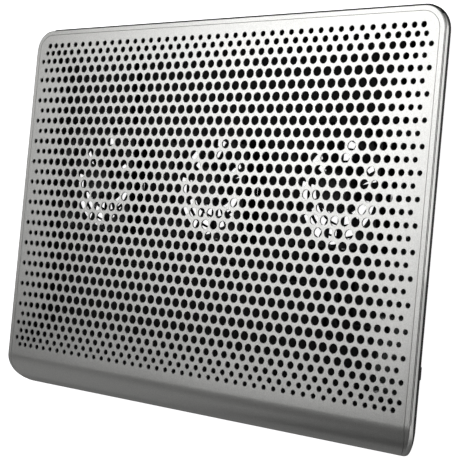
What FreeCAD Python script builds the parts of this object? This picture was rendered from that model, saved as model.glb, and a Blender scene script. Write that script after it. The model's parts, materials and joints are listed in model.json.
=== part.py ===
import FreeCAD, Part
import math
import os
import re

import Sketcher

# Laptop cooling pad.  Millimetres, +Z up, +X to the user's right, +Y towards the back.
# The origin is on the desk, under the middle of the pad.

DIMENSIONS = {
    # outer form
    "pad_width": 377.2,
    "pad_depth": 283.4,
    "pad_top": 25.0,
    "underside": 3.0,
    "corner_radius": 17.2,
    "shoulder_drop": 7.0,
    "taper_angle": 42.0,
    "nose_radius": 22.0,
    "lip_corner_radius": 21.0,
    "lip_corner_reach": 1.0,
    # silver skin: frame and perforated plate
    "skin_depth": 4.1,
    "skin_gap": 0.25,
    "rim_width": 4.1,
    "back_rim_width": 4.6,
    "back_step": 0.9,
    "shell_proud": 0.8,
    "seam_gap": 0.32,
    "plate_thickness": 1.0,
    "plate_corner_radius": 18.0,
    "ledge_width": 3.2,
    "back_ledge_width": 5.6,
    "ledge_front": -113.0,
    "edge_round": 0.6,
    "groove_drop": 0.6,
    "groove_height": 0.8,
    "groove_depth": 0.8,
    # holes of the plate
    "pitch": 8.2,
    "hole_diameter": 6.5,
    "hole_grade": 0.885,
    "pattern_shift": 6.72,
    "even_holes": 46,
    "hole_rows": 32,
    "graded_columns": 5,
    "graded_back_rows": 4,
    "graded_front_rows": 5,
    "end_gap": 0.97,
    "end_gap_step": 0.045,
    "back_gap": 0.961,
    "back_gap_step": 0.083,
    "front_gap": 0.945,
    "front_gap_step": 0.079,
    # bottom shell
    "wall": 2.4,
    "floor_thickness": 2.0,
    "vent_radius": 37.3,
    "vent_hub_radius": 13.9,
    "vent_rings": 3,
    "vent_ring_width": 1.2,
    "vent_spoke_width": 2.0,
    "guide_start": -100.0,
    "guide_step": 57.0,
    "guide_length": 6.0,
    "guide_width": 1.2,
    "guide_height": 3.1,
    # fans
    "fan_spacing": 110.7,
    "fan_shift": 22.3,
    "fan_size": 74.0,
    "fan_height": 15.0,
    "fan_corner_reach": 49.2,
    "fan_bore_radius": 35.2,
    "fan_barrel_wall": 1.6,
    "fan_flange": 3.0,
    "fan_hole_spacing": 64.0,
    "fan_hole_radius": 2.15,
    "strut_width": 3.0,
    "strut_height": 2.5,
    "motor_base_radius": 14.0,
    "motor_base_height": 1.5,
    "motor_board_lift": 0.1,
    "bearing_tube_radius": 4.0,
    "bearing_tube_wall": 1.0,
    "bearing_tube_height": 10.0,
    "bearing_inset": 0.3,
    "fit_gap": 0.02,
    "running_gap": 0.05,
    "shaft_radius": 1.5,
    "motor_board_radius": 12.0,
    "motor_board_height": 1.0,
    "coil_radius": 10.3,
    "coil_height": 5.6,
    "coil_lift": 3.2,
    "coil_shoe": 1.2,
    "coil_shoe_gap": 2.4,
    "coil_collar": 1.6,
    "coil_arm_width": 4.5,
    "magnet_inner_radius": 10.8,
    "magnet_outer_radius": 12.3,
    "magnet_height": 7.5,
    "hub_radius": 13.5,
    "hub_lift": 3.0,
    "hub_height": 11.2,
    "hub_roof": 1.5,
    "hub_chamfer": 0.8,
    "shaft_boss_radius": 2.8,
    "shaft_boss_height": 2.0,
    "shaft_sink": 0.6,
    "shaft_foot": 0.5,
    "blade_count": 7,
    "blade_radius": 34.5,
    "blade_half_angle": 12.0,
    "blade_overlap": 0.6,
    "blade_overrun": 2.5,
    "blade_lift": 3.4,
    "blade_height": 10.4,
    "blade_thickness": 1.5,
    # fold-out legs
    "leg_spacing": 120.0,
    "leg_width": 60.0,
    "leg_length": 45.0,
    "leg_thickness": 5.0,
    "leg_hinge_back": 118.0,
    "leg_hinge_height": 6.5,
    "leg_barrel_radius": 3.3,
    "leg_pin_radius": 1.5,
    "leg_pocket_roof": 10.2,
    "leg_pocket_gap": 0.5,
    "leg_pocket_wall": 2.0,
    "leg_heel_room": 3.8,
    "leg_tip_room": 2.0,
    "leg_panel_side": 6.0,
    "leg_panel_front": 4.0,
    "leg_panel_back": 10.0,
    "leg_panel_depth": 1.6,
    "leg_under_panel_depth": 0.6,
    "leg_pin_end_gap": 0.2,
    "tip_length": 7.0,
    "tip_thickness": 5.8,
    "tip_grip": 2.0,
    "tip_gap": 0.05,
    "notch_width": 18.0,
    "notch_length": 9.0,
    # feet
    "foot_radius": 6.0,
    "foot_seat": 1.0,
    "foot_side": 165.0,
    "foot_front": -118.0,
    "foot_back": 108.0,
    "foot_round": 1.2,
    "foot_gap": 0.1,
    # screws
    "case_screw_inner": 60.0,
    "case_screw_outer": 150.0,
    "case_screw_front": -127.0,
    "case_screw_back": 130.5,
    "case_boss_radius": 3.4,
    "case_boss_gap": 0.1,
    "case_post_radius": 4.5,
    "case_seat_front": 8.6,
    "case_seat_back": 12.6,
    "case_boss_top_front": 19.4,
    "case_boss_top_back": 22.4,
    "case_seat_thickness": 3.0,
    "case_screw_length": 8.5,
    "case_pilot_depth": 7.0,
    "screw_head_radius": 3.0,
    "screw_head_height": 2.0,
    "screw_head_pocket": 3.3,
    "screw_shank_radius": 1.2,
    "screw_clearance": 0.4,
    "screw_cross_reach": 0.6,
    "screw_cross_width": 0.7,
    "fan_screw_head_radius": 3.4,
    "fan_screw_head_height": 1.1,
    "fan_screw_shank_radius": 2.05,
    "fan_screw_length": 6.0,
    "fan_screw_gap": 0.08,
    "fan_head_gap": 0.3,
    "fan_head_sink": 0.2,
    "fan_hole_gap": 0.15,
    # control board and what it carries
    "board_left": 150.0,
    "board_right": 175.0,
    "board_front": -108.0,
    "board_back": -56.0,
    "board_height": 7.4,
    "board_thickness": 1.6,
    "board_hole_inset": 3.0,
    "board_post_radius": 2.5,
    "board_screw_radius": 1.0,
    "board_screw_head": 2.0,
    "board_screw_head_height": 1.2,
    "board_screw_length": 3.4,
    "board_screw_slot": 0.5,
    "board_hole_gap": 0.2,
    "switch_along": -87.6,
    "switch_depth": 8.5,
    "switch_length": 16.0,
    "switch_height": 8.0,
    "switch_overhang": 1.5,
    "switch_track_depth": 3.0,
    "knob_length": 8.0,
    "knob_bottom": 13.2,
    "knob_top": 16.3,
    "knob_proud": 1.1,
    "knob_travel": 2.0,
    "knob_gap": 0.15,
    "knob_root": 174.0,
    "knob_slot_start": 175.8,
    "knob_rib_pitch": 1.9,
    "knob_rib_gap": 0.8,
    "knob_rib_depth": 0.5,
    "knob_cap": 0.8,
    "socket_along": -68.0,
    "socket_mouth": 178.0,
    "socket_width": 7.7,
    "socket_height": 3.9,
    "socket_length": 9.2,
    "socket_wall": 0.35,
    "socket_back_wall": 1.5,
    "socket_gap": 0.2,
    "tongue_start": 1.0,
    "tongue_side": 1.3,
    "tongue_thickness": 0.8,
    "plug_room_width": 12.0,
    "plug_room_bottom": 7.0,
    "plug_room_top": 15.0,
    "plug_room_wall": 1.8,
    # fan leads
    "lead_radius": 1.0,
    "lead_bend": 10.0,
    "lead_height": 6.2,
    "lead_exit": 20.0,
    "lead_end_gap": 0.2,
    "lane_front": -28.0,
    "lane_step": 6.0,
    "turn_first": 104.0,
    "turn_step": 10.0,
    "lead_rise_end": 141.0,
    "header_back": -64.0,
    "header_step": 5.5,
    "header_width": 4.8,
    "header_length": 5.0,
    "header_height": 3.4,
    "header_wall": 0.5,
    "header_inset": 0.5,
    "plug_length": 4.0,
    "plug_proud": 0.6,
    "plug_gap": 0.05,
}

doc = FreeCAD.newDocument("laptop_cooling_pad")
sheet = doc.addObject("Spreadsheet::Sheet", "dims")
for row, (alias, number) in enumerate(DIMENSIONS.items(), start=1):
    sheet.set(f"A{row}", alias)
    sheet.set(f"B{row}", str(number))
    sheet.setAlias(f"B{row}", alias)
doc.recompute()

UP = FreeCAD.Rotation()
ALONG_X = FreeCAD.Rotation(FreeCAD.Vector(0, 1, 0), 90)
FAN_CENTRES = {"left": "-fan_spacing", "centre": "0", "right": "fan_spacing"}
SIDES = {"left": -1, "right": 1}
NOSE_CENTRE = "(nose_radius - pad_depth / 2)"
SHOULDER = "(pad_top - shoulder_drop)"
FLOOR = "(underside + floor_thickness)"
BOARD_TOP = "(board_height + board_thickness)"
LIP_CORNER = ("lip_corner_radius", "lip_corner_reach")
SPOKE_TURNS = (30, 150, 270)
ARM_TURNS = (45, 135, 225, 315)
GUIDE_COLUMNS = 4
GUIDE_LANES = 3
KNOB_GAPS = 4
parts = []


# ---------------------------------------------------------------- helpers

def ex(text):
    """The same expression with each alias read from the sheet."""
    return re.sub(r"[a-z][a-z_]+", lambda m: f"dims.{m[0]}" if m[0] in DIMENSIONS else m[0], str(text))


def value(text):
    """The number that an expression of the sheet gives now."""
    result = sheet.evalExpression(ex(text))
    return float(getattr(result, "Value", result))


def place(thing, x="0", y="0", z="0"):
    for axis, text in zip("xyz", (x, y, z)):
        thing.setExpression(f"Placement.Base.{axis}", ex(text))
    return thing


def box(name, size, corner):
    """A block from its lowest corner."""
    block = doc.addObject("Part::Box", name)
    for prop, text in zip(("Length", "Width", "Height"), size):
        block.setExpression(prop, ex(text))
    return place(block, *corner)


def cylinder(name, radius, height, base, turn=UP):
    rod = doc.addObject("Part::Cylinder", name)
    rod.Placement.Rotation = turn
    rod.setExpression("Radius", ex(radius))
    rod.setExpression("Height", ex(height))
    return place(rod, *base)


def radial_bar(name, size, x, base, turn):
    """A bar from a fan's axis outwards, turned about that axis."""
    reach, width, height = size
    bar = box(name, size, (x, "fan_shift", base))
    bar.Placement.Rotation = FreeCAD.Rotation(FreeCAD.Vector(0, 0, 1), turn)
    cosine, sine = math.cos(math.radians(turn)), math.sin(math.radians(turn))
    return place(bar, f"{x} + {sine} * {width} / 2", f"fan_shift - {cosine} * {width} / 2", base)


def fuse(name, *shapes):
    if len(shapes) == 1:
        return shapes[0]
    joined = doc.addObject("Part::MultiFuse", name)
    joined.Shapes = list(shapes)
    return joined


def cut(name, base, *tools):
    left = doc.addObject("Part::Cut", name)
    left.Base = base
    left.Tool = fuse(f"{name}_cutters", *tools)
    return left


def common(name, *shapes):
    shared = doc.addObject("Part::MultiCommon", name)
    shared.Shapes = list(shapes)
    return shared


def group(name, *shapes):
    """Separate solids that are one sub-part."""
    together = doc.addObject("Part::Compound", name)
    together.Links = list(shapes)
    return together


def sub_part(label, thing):
    thing.Label = label
    parts.append(thing)
    return thing


def dimension(sketch, kind, places, text):
    """A driving constraint bound to an expression of the sheet."""
    index = sketch.addConstraint(Sketcher.Constraint(kind, *places, value(text)))
    name = f"size_{index}"
    sketch.renameConstraint(index, name)
    sketch.setExpression(f"Constraints.{name}", ex(text))


def plane_of(body, role):
    return next(plane for plane in body.Origin.OriginFeatures if plane.Role == role)


def body_sketch(body, name, role, offset="0"):
    sketch = body.newObject("Sketcher::SketchObject", name)
    sketch.AttachmentSupport = (plane_of(body, role), "")
    sketch.MapMode = "FlatFace"
    sketch.setExpression("AttachmentOffset.Base.z", ex(offset))
    return sketch


def polygon(sketch, points):
    """A closed outline with each corner bound to the sheet."""
    spots = [FreeCAD.Vector(value(x), value(y), 0) for x, y in points]
    for start, end in zip(spots, spots[1:] + spots[:1]):
        sketch.addGeometry(Part.LineSegment(start, end), False)
    for i, (x, y) in enumerate(points):
        sketch.addConstraint(Sketcher.Constraint("Coincident", i - 1 if i else len(points) - 1, 2, i, 1))
        dimension(sketch, "DistanceX", (-1, 1, i, 1), x)
        dimension(sketch, "DistanceY", (-1, 1, i, 1), y)
    return sketch


def revolved_body(name, points, role="XZ_Plane"):
    """A PartDesign body turned about its own Z axis from a half section."""
    body = doc.addObject("PartDesign::Body", name)
    section = polygon(body_sketch(body, f"{name}_section", role), points)
    turned = body.newObject("PartDesign::Revolution", f"{name}_turned")
    turned.Profile = section
    turned.ReferenceAxis = (section, ["V_Axis"])
    turned.Angle = 360
    body.Tip = turned
    return body


# ---------------------------------------------------------------- outer form

def plan_sketch(name, side, front, back, radius, height):
    """Outline seen from above: square front corners, round back corners."""
    w, f, b, r = value(side), value(front), value(back), value(radius)
    sketch = doc.addObject("Sketcher::SketchObject", name)
    place(sketch, z=height)
    vector = FreeCAD.Vector
    sketch.addGeometry(Part.LineSegment(vector(-w, f, 0), vector(w, f, 0)), False)
    sketch.addGeometry(Part.LineSegment(vector(w, f, 0), vector(w, b - r, 0)), False)
    right = Part.Circle(vector(w - r, b - r, 0), vector(0, 0, 1), r)
    sketch.addGeometry(Part.ArcOfCircle(right, 0, math.pi / 2), False)
    sketch.addGeometry(Part.LineSegment(vector(w - r, b, 0), vector(r - w, b, 0)), False)
    left = Part.Circle(vector(r - w, b - r, 0), vector(0, 0, 1), r)
    sketch.addGeometry(Part.ArcOfCircle(left, math.pi / 2, math.pi), False)
    sketch.addGeometry(Part.LineSegment(vector(-w, b - r, 0), vector(-w, f, 0)), False)
    for kind, where in (
        ("Coincident", (0, 2, 1, 1)), ("Coincident", (5, 2, 0, 1)),
        ("Tangent", (1, 2, 2, 1)), ("Tangent", (2, 2, 3, 1)),
        ("Tangent", (3, 2, 4, 1)), ("Tangent", (4, 2, 5, 1)),
        ("Horizontal", (0,)), ("Vertical", (1,)), ("Horizontal", (3,)), ("Vertical", (5,)),
        ("Equal", (2, 4)),
    ):
        sketch.addConstraint(Sketcher.Constraint(kind, *where))
    dimension(sketch, "DistanceX", (-1, 1, 1, 1), side)
    dimension(sketch, "DistanceX", (5, 2, -1, 1), side)
    dimension(sketch, "DistanceY", (-1, 1, 0, 1), front)
    dimension(sketch, "DistanceY", (-1, 1, 3, 1), back)
    dimension(sketch, "Radius", (2,), radius)
    return sketch


def prism(name, sketch, height, direction=1, taper=None):
    solid = doc.addObject("Part::Extrusion", name)
    solid.Base = sketch
    solid.DirMode = "Custom"
    solid.Dir = FreeCAD.Vector(0, 0, direction)
    solid.Solid = True
    solid.setExpression("LengthFwd", ex(height))
    if taper:
        solid.setExpression("TaperAngle", ex(taper))
    return solid


def under_skin(name, depth):
    """Everything that lies deeper than this below the deck and the rounded nose."""
    reach = "(pad_width + 20)"
    start = "(-pad_width / 2 - 10)"
    deck = box(f"{name}_deck", (reach, "pad_depth", f"pad_top - {depth}"), (start, NOSE_CENTRE, "0"))
    at = (start, NOSE_CENTRE, "underside")
    nose = cylinder(f"{name}_nose", f"nose_radius - {depth}", reach, at, ALONG_X)
    return fuse(name, deck, nose)


def lip_trim(name, side_inset, radius, reach):
    """A tall block that rounds the two front corners and reaches past the pad everywhere else."""
    outline = plan_sketch(
        f"{name}_outline", f"pad_width / 2 - {side_inset}", "-pad_depth",
        f"pad_depth / 2 + {reach}", radius, "0",
    )
    block = prism(name, outline, "2 * pad_top")
    block.Placement.Rotation = FreeCAD.Rotation(FreeCAD.Vector(0, 0, 1), 180)
    return block


def pad_form(name, side_inset, back_inset, depth, bottom, lip):
    """The pad's closed form: straight sides, a shoulder, sides that lean in, and a round nose."""
    outline = plan_sketch(
        f"{name}_outline", f"pad_width / 2 - {side_inset}", "-pad_depth / 2 - nose_radius",
        f"pad_depth / 2 - {back_inset}", f"corner_radius - {back_inset}", SHOULDER,
    )
    upright = prism(f"{name}_upright", outline, "shoulder_drop")
    leaning = prism(f"{name}_leaning", outline, f"{SHOULDER} - {bottom}", -1, "-taper_angle")
    sides = fuse(f"{name}_sides", upright, leaning)
    trim = lip_trim(f"{name}_trim", side_inset, *lip)
    return common(name, sides, trim, under_skin(f"{name}_skin", depth))


# ---------------------------------------------------------------- silver frame

def edges_on_rim(shape):
    """Numbers of the edges where the deck and the nose meet the sides."""
    top = value("pad_top")
    half_width = value("pad_width / 2")
    centre_y, centre_z = value(NOSE_CENTRE), value("underside")
    found = []
    for number, edge in enumerate(shape.Edges, start=1):
        ends = edge.Vertexes
        middle = edge.valueAt((edge.FirstParameter + edge.LastParameter) / 2)
        on_deck = abs(middle.z - top) < 0.01 and middle.y > centre_y
        reach = math.hypot(middle.y - centre_y, middle.z - centre_z)
        on_nose = middle.y < centre_y and abs(reach - value("nose_radius")) < 0.01
        across = len(ends) == 2 and abs(ends[0].X - ends[1].X) > half_width and middle.y < 0
        if (on_deck or on_nose) and not across:
            found.append(number)
    return found


def case_screw_spots():
    sides = ("-case_screw_outer", "-case_screw_inner", "case_screw_inner", "case_screw_outer")
    return [(x, y) for y in ("case_screw_front", "case_screw_back") for x in sides]


def case_row(y):
    """Which row a case screw is in, front or back."""
    return "front" if "front" in y else "back"


def make_top_frame():
    form = pad_form("frame_form", "0", "back_step", "0", "underside", LIP_CORNER)
    doc.recompute()
    rounded = doc.addObject("Part::Fillet", "frame_rounded")
    rounded.Base = form
    rim_round = value("edge_round")
    rounded.Edges = [(number, rim_round, rim_round) for number in edges_on_rim(form.Shape)]
    skin = cut("frame_skin", rounded, under_skin("frame_inside", "skin_depth"))
    recess = cut(
        "plate_recess",
        pad_form("recess_form", "(rim_width - seam_gap)", "(back_rim_width - seam_gap)", "0", "0",
                 ("(plate_corner_radius + seam_gap)", "(lip_corner_reach + seam_gap)")),
        under_skin("recess_bed", "(plate_thickness + skin_gap)"),
    )
    window = prism("deck_window", plan_sketch(
        "deck_window_outline", "pad_width / 2 - rim_width - ledge_width", "ledge_front",
        "pad_depth / 2 - back_rim_width - back_ledge_width",
        "corner_radius - rim_width - ledge_width", "pad_top - 2 * skin_depth",
    ), "2 * skin_depth")
    groove_top = "pad_top - groove_drop"
    groove = cut(
        "side_groove",
        box("groove_band", ("pad_width + 2", "pad_depth", "groove_height"),
            ("-pad_width / 2 - 1", NOSE_CENTRE, f"{groove_top} - groove_height")),
        prism("groove_core", plan_sketch(
            "groove_core_outline", "pad_width / 2 - groove_depth", "-pad_depth / 2",
            "pad_depth / 2 - back_step - groove_depth", "corner_radius - back_step - groove_depth", SHOULDER,
        ), "shoulder_drop"),
    )
    ring = cut("frame_ring", skin, recess, window, groove)
    bosses = []
    pilots = []
    for i, (x, y) in enumerate(case_screw_spots()):
        seat = f"(case_seat_{case_row(y)} + case_boss_gap)"
        tall = f"case_boss_top_{case_row(y)} - {seat}"
        bosses.append(cylinder(f"frame_boss_{i}", "case_boss_radius", tall, (x, y, seat)))
        pilots.append(cylinder(f"frame_pilot_{i}", "screw_shank_radius", "case_pilot_depth", (x, y, seat)))
    sub_part("top_frame", cut("top_frame", fuse("frame_bossed", ring, *bosses), *pilots))


# ---------------------------------------------------------------- perforated plate

FULL_SIZE_COLUMNS = (6, 17)
FULL_SIZE_ROWS = (3, 27)


def graded_run(gaps, first, step):
    """Distances covered by a run of gaps that shrink by an even step."""
    reached = 0.0
    run = []
    for k in range(gaps):
        reached += first - step * k
        run.append(reached)
    return run


def row_places():
    """Each row's distance behind the pattern's middle, in pitches, and how far it is graded."""
    rows = int(value("hole_rows"))
    back = int(value("graded_back_rows"))
    front = int(value("graded_front_rows"))
    middle = (rows - 1) / 2
    places = {row: (middle - row, 0) for row in range(back, rows - front)}
    for level, run in enumerate(graded_run(back, value("back_gap"), value("back_gap_step")), start=1):
        places[back - level] = (middle - back + run, level)
    last = rows - front - 1
    for level, run in enumerate(graded_run(front, value("front_gap"), value("front_gap_step")), start=1):
        places[last + level] = (middle - last - run, level)
    return places


def column_places(row):
    """The right half of a row: distance from the middle, in pitches, and how far it is graded."""
    graded = int(value("graded_columns"))
    half = int(value("even_holes")) // 2
    start = 0.5 if row % 2 == 0 else 0.0
    plain = half - graded
    places = [(start + k, 0) for k in range(plain)]
    for level, run in enumerate(graded_run(graded, value("end_gap"), value("end_gap_step")), start=1):
        places.append((start + plain - 1 + run, level))
    if row == 0:
        places.pop()
    return places


def plate_holes():
    """Centre and radius of every hole in the plate."""
    pitch = value("pitch")
    full_radius = value("hole_diameter") / 2
    for row, (behind, row_level) in row_places().items():
        y = value("pattern_shift") + behind * pitch
        for column, (aside, column_level) in enumerate(column_places(row)):
            level = max(row_level, column_level)
            if row in FULL_SIZE_ROWS and column in FULL_SIZE_COLUMNS:
                level = 0
            radius = full_radius * value("hole_grade") ** level
            for side in ((1,) if aside == 0 else (-1, 1)):
                yield side * aside * pitch, y, radius


def outer_faces(solid, joint_y):
    """A solid's faces without the plain one that lies in the joint plane."""
    kept = []
    for face in solid.Faces:
        plain = len(face.Edges) == 4 and all(abs(v.Y - joint_y) < 1e-6 for v in face.Vertexes)
        if not plain:
            kept.append(face)
    return kept


def make_perforated_plate():
    """One sheet: the flat deck with its holes and the rounded lip, sewn at the line where they meet."""
    sheet_metal = cut(
        "plate_sheet",
        pad_form("plate_form", "rim_width", "back_rim_width", "0", "underside",
                 ("plate_corner_radius", "lip_corner_reach")),
        under_skin("plate_inside", "plate_thickness"),
    )
    lip = common("plate_lip", sheet_metal, box(
        "plate_lip_room", ("pad_width", "pad_depth", "2 * pad_top"),
        ("-pad_width / 2", f"{NOSE_CENTRE} - pad_depth", "-pad_top"),
    ))
    outline = plan_sketch(
        "deck_outline", "pad_width / 2 - rim_width", NOSE_CENTRE,
        "pad_depth / 2 - back_rim_width", "corner_radius - back_rim_width", "pad_top - plate_thickness",
    )
    doc.recompute()
    level = value("pad_top - plate_thickness")
    normal = FreeCAD.Vector(0, 0, 1)
    wires = [Part.Wire(outline.Shape.Edges)]
    for x, y, radius in plate_holes():
        wires.append(Part.Wire(Part.makeCircle(radius, FreeCAD.Vector(x, y, level), -normal)))
    deck = Part.Face(wires).extrude(normal * value("plate_thickness"))
    joint_y = value(NOSE_CENTRE)
    skin = Part.makeShell(outer_faces(deck, joint_y) + outer_faces(lip.Shape, joint_y))
    skin.sewShape()
    plate = doc.addObject("Part::Feature", "perforated_plate")
    plate.Shape = Part.makeSolid(skin)
    print("holes in the plate:", len(wires) - 1)
    sub_part("perforated_plate", plate)


# ---------------------------------------------------------------- bottom shell

def vent_cutter(name, x):
    """The open rings below one fan, with spokes and a solid middle left standing."""
    low, tall = "underside - 1", "floor_thickness + 2"
    at = (x, "fan_shift", low)
    rings = []
    count = int(value("vent_rings"))
    step = "((vent_radius - vent_hub_radius + vent_ring_width) / vent_rings)"
    for k in range(count):
        inner = f"(vent_hub_radius + {k} * {step})"
        outer = f"{inner} + {step} - vent_ring_width"
        rings.append(cut(
            f"{name}_slot_{k}",
            cylinder(f"{name}_outer_{k}", outer, tall, at),
            cylinder(f"{name}_inner_{k}", inner, tall, at),
        ))
    spokes = [
        radial_bar(f"{name}_spoke_{turn}", ("vent_radius + 1", "vent_spoke_width", tall), x, low, turn)
        for turn in SPOKE_TURNS
    ]
    return cut(name, group(f"{name}_slots", *rings), *spokes)


def leg_pocket(side, sign):
    """A leg's pocket: the block that houses it, and what is cut away."""
    x = f"({sign} * leg_spacing)"
    half = "(leg_width / 2 + leg_pocket_gap)"
    front = "(leg_hinge_back - leg_length - leg_tip_room)"
    back = "(leg_hinge_back + leg_heel_room)"
    wall = "leg_pocket_wall"
    roof = "leg_pocket_roof"
    block = box(
        f"{side}_pocket_block",
        (f"2 * ({half} + {wall})", f"{back} - {front} + 2 * {wall}", f"{roof} + {wall} - underside"),
        (f"{x} - {half} - {wall}", f"{front} - {wall}", "underside"),
    )
    notch_block = box(
        f"{side}_notch_block",
        (f"notch_width + 2 * {wall}", f"notch_length + {wall}", f"{roof} + {wall} - underside"),
        (f"{x} - notch_width / 2 - {wall}", f"{front} - notch_length - {wall}", "underside"),
    )
    hollow = box(
        f"{side}_pocket", (f"2 * {half}", f"{back} - {front}", roof), (f"{x} - {half}", front, "0"),
    )
    notch = box(
        f"{side}_notch", ("notch_width", "notch_length + 1", roof),
        (f"{x} - notch_width / 2", f"{front} - notch_length", "0"),
    )
    pin_hole = cylinder(
        f"{side}_pin_hole", "leg_pin_radius + fit_gap", f"2 * ({half} + {wall}) + 2",
        (f"{x} - {half} - {wall} - 1", "leg_hinge_back", "leg_hinge_height"), ALONG_X,
    )
    return [block, notch_block], [hollow, notch, pin_hole]


def foot_spots():
    return {
        "front_left": ("-foot_side", "foot_front"), "front_right": ("foot_side", "foot_front"),
        "back_left": ("-foot_side", "foot_back"), "back_right": ("foot_side", "foot_back"),
    }


def fan_screw_spots():
    for x in FAN_CENTRES.values():
        for i in (-1, 1):
            for j in (-1, 1):
                yield f"({x} + {i} * fan_hole_spacing / 2)", f"(fan_shift + {j} * fan_hole_spacing / 2)"


def board_screw_spots():
    for x in ("(board_left + board_hole_inset)", "(board_right - board_hole_inset)"):
        for y in ("(board_front + board_hole_inset)", "(board_back - board_hole_inset)"):
            yield x, y


def knob_track(name, length, start):
    """The room in which the switch's knob slides."""
    reach = "(knob_length / 2 + knob_travel + 2 * knob_gap)"
    return box(
        name, (length, f"2 * {reach}", "knob_top - knob_bottom + 2 * knob_gap"),
        (start, f"switch_along - {reach}", "knob_bottom - knob_gap"),
    )


def make_bottom_shell():
    outer = pad_form("shell_outer", "0", "(-shell_proud)", "(skin_depth + skin_gap)", "underside",
                     LIP_CORNER)
    inner = pad_form("shell_inner", "wall", "wall", "0", FLOOR, LIP_CORNER)
    tub = cut("shell_tub", outer, inner)
    added = []
    removed = []
    for side, sign in SIDES.items():
        blocks, hollows = leg_pocket(side, sign)
        added += blocks
        removed += hollows
    for name, x in FAN_CENTRES.items():
        removed.append(vent_cutter(f"{name}_vent", x))
    for name, (x, y) in foot_spots().items():
        removed.append(cylinder(
            f"foot_seat_{name}", "foot_radius + foot_gap", "foot_seat + 1", (x, y, "underside - 1"),
        ))
    for i, (x, y) in enumerate(case_screw_spots()):
        seat = f"case_seat_{case_row(y)}"
        at = (x, y, "underside")
        added.append(cylinder(f"case_post_{i}", "case_post_radius", f"{seat} - underside", at))
        removed.append(cylinder(
            f"case_head_room_{i}", "screw_head_pocket", f"{seat} - case_seat_thickness", (x, y, "0"),
        ))
        removed.append(cylinder(
            f"case_clearance_{i}", "screw_shank_radius + screw_clearance", seat, (x, y, "1"),
        ))
    for i, (x, y) in enumerate(fan_screw_spots()):
        removed.append(cylinder(
            f"fan_head_room_{i}", "fan_screw_head_radius + fan_head_gap",
            "fan_screw_head_height + fan_head_sink + 1", (x, y, "underside - 1"),
        ))
        removed.append(cylinder(
            f"fan_clearance_{i}", "fan_hole_radius + fan_hole_gap", "floor_thickness + 2",
            (x, y, "underside - 1"),
        ))
    for i, (x, y) in enumerate(board_screw_spots()):
        added.append(cylinder(
            f"board_post_{i}", "board_post_radius", "board_height - underside", (x, y, "underside"),
        ))
        removed.append(cylinder(f"board_pilot_{i}", "board_screw_radius", "board_height", (x, y, FLOOR)))
    added.append(box(
        "plug_room_block",
        ("2 * pad_top", "plug_room_width + 2 * plug_room_wall", "plug_room_top + plug_room_wall - underside"),
        ("socket_mouth - plug_room_wall", "socket_along - plug_room_width / 2 - plug_room_wall", "underside"),
    ))
    removed.append(box(
        "plug_room", ("2 * pad_top", "plug_room_width", "plug_room_top - plug_room_bottom"),
        ("socket_mouth", "socket_along - plug_room_width / 2", "plug_room_bottom"),
    ))
    removed.append(box(
        "socket_window",
        ("4 * plug_room_wall", "socket_width + 2 * socket_gap", "socket_height + 2 * socket_gap"),
        ("socket_mouth - 2 * plug_room_wall", "socket_along - socket_width / 2 - socket_gap",
         f"{BOARD_TOP} - socket_gap"),
    ))
    removed.append(knob_track("knob_slot", "2 * pad_top", "knob_slot_start"))
    inside = common("shell_added", outer, fuse("shell_blocks", *added))
    guides = []
    for i in range(GUIDE_COLUMNS):
        for lane in range(GUIDE_LANES):
            guides.append(box(
                f"lead_guide_{i}_{lane}",
                ("guide_length", "guide_width", "guide_height + floor_thickness / 2"),
                (f"guide_start + {i} * guide_step",
                 f"lane_front - ({lane} + 0.5) * lane_step - guide_width / 2",
                 f"{FLOOR} - floor_thickness / 2"),
            ))
    body = fuse("shell_body", tub, inside, *guides)
    sub_part("bottom_shell", cut("bottom_shell", body, *removed))


# ---------------------------------------------------------------- fans

def make_fan_frame(side, x):
    name = f"fan_frame_{side}"
    at = (x, "fan_shift", FLOOR)
    half = "fan_size / 2"
    block = common(
        f"{name}_block",
        box(f"{name}_square", ("fan_size", "fan_size", "fan_height"),
            (f"{x} - {half}", f"fan_shift - {half}", FLOOR)),
        cylinder(f"{name}_corners", "fan_corner_reach", "fan_height", at),
    )
    waist_base = (x, "fan_shift", f"{FLOOR} + fan_flange")
    waist_height = "fan_height - 2 * fan_flange"
    waist = cut(
        f"{name}_waist",
        cylinder(f"{name}_waist_outer", "fan_corner_reach + 1", waist_height, waist_base),
        cylinder(f"{name}_barrel", "fan_bore_radius + fan_barrel_wall", waist_height, waist_base),
    )
    bore = cylinder(f"{name}_bore", "fan_bore_radius", "fan_height", at)
    holes = []
    for i in (-1, 1):
        for j in (-1, 1):
            spot = (f"{x} + {i} * fan_hole_spacing / 2", f"fan_shift + {j} * fan_hole_spacing / 2", FLOOR)
            holes.append(cylinder(f"{name}_hole_{i + 1}{j + 1}", "fan_hole_radius", "fan_height", spot))
    ring = cut(f"{name}_ring", block, waist, bore, *holes)
    strut = ("fan_bore_radius + fan_barrel_wall / 2", "strut_width", "strut_height")
    struts = [radial_bar(f"{name}_strut_{turn}", strut, x, FLOOR, turn) for turn in SPOKE_TURNS]
    base = cylinder(f"{name}_base", "motor_base_radius", "motor_base_height", at)
    tube = cylinder(f"{name}_tube", "bearing_tube_radius", "bearing_tube_height", at)
    base_top = f"{FLOOR} + motor_base_height"
    clear_seat = cut(
        f"{name}_seat_room",
        cylinder(f"{name}_seat", "motor_base_radius", "strut_height", (x, "fan_shift", base_top)),
        cylinder(f"{name}_tube_core", "bearing_tube_radius", "strut_height", (x, "fan_shift", base_top)),
    )
    bearing_room = cylinder(
        f"{name}_bearing_room", "bearing_tube_radius - bearing_tube_wall", "bearing_tube_height",
        (x, "fan_shift", base_top),
    )
    whole = fuse(f"{name}_whole", ring, *struts, base, tube)
    sub_part(name, cut(name, whole, clear_seat, bearing_room))


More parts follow.
